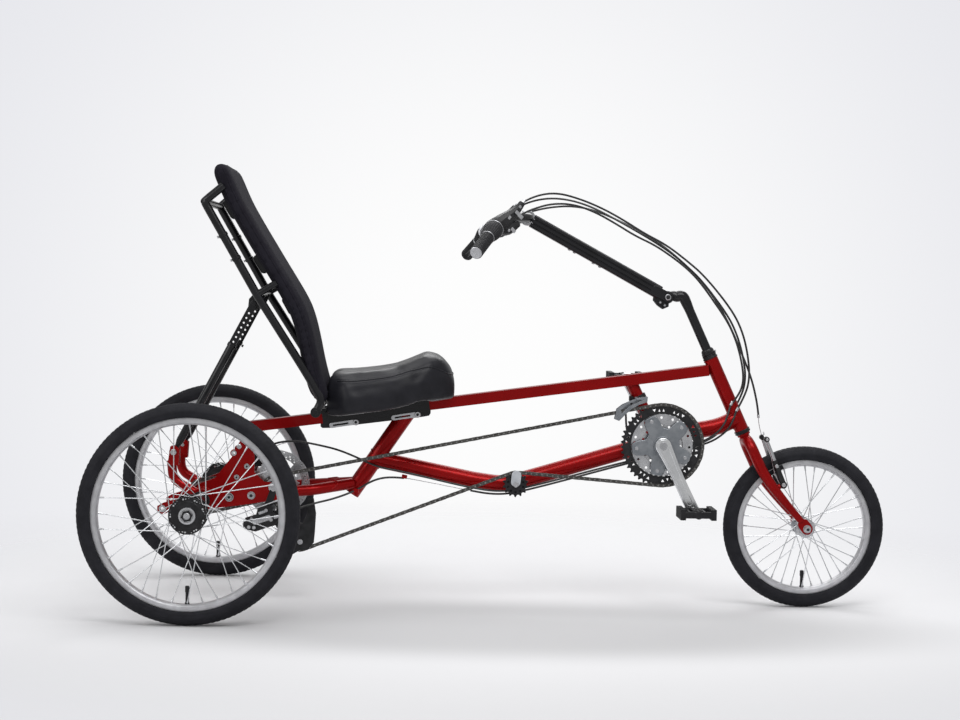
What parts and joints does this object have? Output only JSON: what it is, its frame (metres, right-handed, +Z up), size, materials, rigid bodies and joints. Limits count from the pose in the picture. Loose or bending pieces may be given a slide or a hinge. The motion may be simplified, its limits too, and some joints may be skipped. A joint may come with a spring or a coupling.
{
  "type": "recumbent trike",
  "caption": "Recumbent trike with a steered front wheel, a driven rear wheel, a reclining mesh-frame backrest and a handlebar on a tilting riser.",
  "frame": {"origin": "on the floor, below the middle of the bounding box", "axes": "+X ahead, +Y to the rider's left, +Z up"},
  "size_m": [1.8869, 0.844, 1.042],
  "materials": {
    "red_paint": "gloss",
    "black_paint": "gloss",
    "black_metal": "satin",
    "silver_metal": "satin",
    "spoke_wire": "satin",
    "chain_steel": "oiled",
    "tyre_rubber": "matte",
    "black_plastic": "matte",
    "grip_rubber": "matte",
    "seat_vinyl": "smooth vinyl",
    "back_fabric": "woven"
  },
  "bodies": {
    "frame": {"main_frame": "red_paint", "right_rear_frame": "red_paint", "left_rear_frame": "red_paint", "axle_housing": "black_paint", "rear_crossbar": "silver_metal", "strut_bolts": "silver_metal", "mid_axle": "silver_metal", "bottom_bracket": "black_metal", "headset": "black_paint", "chain_idler": "black_plastic", "drive_chain": "chain_steel", "final_chain": "chain_steel", "rear_changer": "black_metal", "front_changer": "black_metal", "brake_caliper": "black_metal", "seat_pan": "black_paint", "seat_cushion": "seat_vinyl", "quick_release_levers": "silver_metal", "frame_cables": "black_plastic"},
    "right_wheel": {"right_tyre": "tyre_rubber", "right_rim": "silver_metal", "right_hub": "black_metal", "right_spokes": "spoke_wire", "rear_axle": "black_metal", "axle_sprocket": "silver_metal"},
    "left_wheel": {"left_tyre": "tyre_rubber", "left_rim": "silver_metal", "left_hub": "black_metal", "left_spokes": "spoke_wire"},
    "mid_hub": {"mid_hub": "black_metal", "cassette": "silver_metal", "output_sprocket": "silver_metal", "brake_rotor": "silver_metal"},
    "crank": {"cranks": "silver_metal", "spider": "silver_metal", "chainrings": "black_metal"},
    "right_pedal": {"right_pedal": "black_plastic"},
    "left_pedal": {"left_pedal": "black_plastic"},
    "steering": {"fork": "red_paint", "front_axle": "silver_metal", "front_brake_arms": "silver_metal", "front_brake_pads": "black_plastic", "stem": "black_paint", "control_cables_lower": "black_plastic"},
    "front_wheel": {"front_tyre": "tyre_rubber", "front_rim": "silver_metal", "front_hub": "silver_metal", "front_spokes": "spoke_wire"},
    "riser": {"riser": "black_paint", "handlebar": "black_paint", "grips": "grip_rubber", "twist_shifters": "black_metal", "brake_levers": "black_metal", "control_cables_upper": "black_plastic", "front_brake_cable": "black_plastic"},
    "backrest": {"back_frame": "black_paint", "backrest_pad": "back_fabric"},
    "strut_lower": {"strut_tubes": "black_paint"},
    "strut_upper": {"strut_bars": "black_paint"}
  },
  "joints": [
    {"name": "right_wheel_spin", "type": "hinge", "parent": "frame", "child": "right_wheel", "pos_m": [-0.696, -0.38, 0.2475], "axis": [0, 1, 0], "continuous": true},
    {"name": "left_wheel_spin", "type": "hinge", "parent": "frame", "child": "left_wheel", "pos_m": [-0.696, 0.38, 0.2475], "axis": [0, 1, 0], "continuous": true},
    {"name": "mid_hub_spin", "type": "hinge", "parent": "frame", "child": "mid_hub", "pos_m": [-0.528, 0, 0.277], "axis": [0, 1, 0], "continuous": true},
    {"name": "crank_spin", "type": "hinge", "parent": "frame", "child": "crank", "pos_m": [0.395, 0, 0.391], "axis": [0, 1, 0], "continuous": true},
    {"name": "right_pedal_spin", "type": "hinge", "parent": "crank", "child": "right_pedal", "pos_m": [0.46952, -0.128, 0.23821], "axis": [0, 1, 0], "continuous": true},
    {"name": "left_pedal_spin", "type": "hinge", "parent": "crank", "child": "left_pedal", "pos_m": [0.32048, 0.128, 0.54379], "axis": [0, 1, 0], "continuous": true},
    {"name": "steering", "type": "hinge", "parent": "frame", "child": "steering", "pos_m": [0.593, 0, 0.428], "axis": [-0.4226, 0, 0.9063], "range_deg": [-35, 35], "deforming": ["control_cables_lower"]},
    {"name": "front_wheel_spin", "type": "hinge", "parent": "steering", "child": "front_wheel", "pos_m": [0.7485, 0, 0.195], "axis": [0, 1, 0], "continuous": true},
    {"name": "riser_tilt", "type": "hinge", "parent": "steering", "child": "riser", "pos_m": [0.405, 0, 0.744], "axis": [0, 1, 0], "range_deg": [-10, 60], "deforming": ["control_cables_upper", "front_brake_cable"]},
    {"name": "backrest_recline", "type": "hinge", "parent": "frame", "child": "backrest", "pos_m": [-0.426, 0, 0.46602], "axis": [0, -1, 0], "range_deg": [-5.6, 14]},
    {"name": "strut_swing", "type": "hinge", "parent": "frame", "child": "strut_lower", "pos_m": [-0.76, 0, 0.361], "axis": [0, -1, 0], "range_deg": [-2.21, 5.22]},
    {"name": "strut_slide", "type": "slide", "parent": "strut_lower", "child": "strut_upper", "axis": [0.4603, 0, 0.8878], "range_m": [-0.0635, 0.026]}
  ],
  "couplings": [
    {"joint": "mid_hub_spin", "follows": "right_wheel_spin", "ratio": 1.3333},
    {"joint": "strut_swing", "follows": "backrest_recline", "ratio": 0.3588},
    {"joint": "strut_slide", "follows": "backrest_recline", "m_per_rad": -0.25578}
  ]
}
